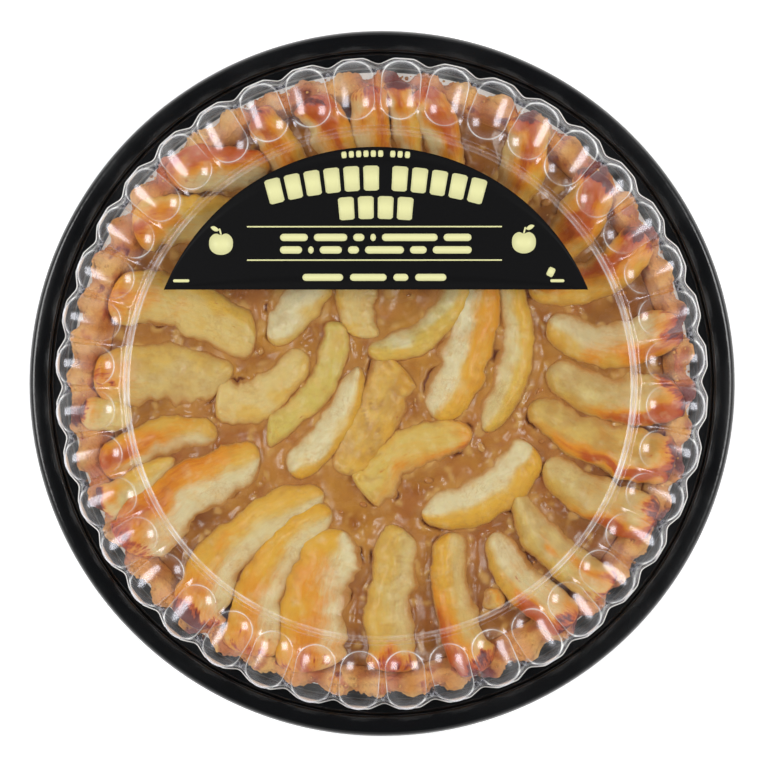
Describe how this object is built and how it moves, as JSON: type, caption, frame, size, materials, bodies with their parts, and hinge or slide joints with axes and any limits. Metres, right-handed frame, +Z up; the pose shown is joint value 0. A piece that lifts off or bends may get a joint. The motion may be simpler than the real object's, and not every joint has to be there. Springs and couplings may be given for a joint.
{
  "type": "packaged apple tart",
  "caption": "Round apple tart with a fluted shortbread crust and glazed fruit, on a white card in a round black tray under a shut clear fluted dome with a plain half-round label.",
  "frame": {"origin": "middle of the tray's underside, on the surface the pack stands on", "axes": "+Z up through the top of the dome; +Y toward the half of the dome that carries the label; +X to the right with the label's straight edge below it"},
  "size_m": [0.266, 0.266, 0.0378],
  "materials": {
    "tray": "glossy black formed plastic",
    "card": "plain white board",
    "crust": "golden-brown baked shortbread, dry and crumbly",
    "filling": "glossy brown fruit gel",
    "fruit": "baked pale golden fruit flesh under a thin glaze",
    "dome": "clear thin formed plastic",
    "label": "satin black sticker with pale yellow print"
  },
  "bodies": {
    "root": {"tray": "tray", "card": "card", "crust": "crust", "filling": "filling", "apple_ring_01": "fruit", "apple_ring_02": "fruit", "apple_ring_03": "fruit", "apple_ring_04": "fruit", "apple_ring_05": "fruit", "apple_ring_06": "fruit", "apple_ring_07": "fruit", "apple_ring_08": "fruit", "apple_ring_09": "fruit", "apple_ring_10": "fruit", "apple_ring_11": "fruit", "apple_ring_12": "fruit", "apple_ring_13": "fruit", "apple_ring_14": "fruit", "apple_ring_15": "fruit", "apple_ring_16": "fruit", "apple_ring_17": "fruit", "apple_ring_18": "fruit", "apple_ring_19": "fruit", "apple_ring_20": "fruit", "apple_ring_21": "fruit", "apple_ring_22": "fruit", "apple_ring_23": "fruit", "apple_ring_24": "fruit", "apple_ring_25": "fruit", "apple_ring_26": "fruit", "apple_ring_27": "fruit", "apple_middle_01": "fruit", "apple_middle_02": "fruit", "apple_middle_03": "fruit", "apple_middle_04": "fruit", "apple_middle_05": "fruit", "apple_middle_06": "fruit", "apple_middle_07": "fruit", "apple_middle_08": "fruit", "apple_middle_09": "fruit", "apple_middle_10": "fruit", "apple_middle_11": "fruit", "apple_middle_12": "fruit", "dome": "dome", "label": "label"}
  },
  "joints": []
}
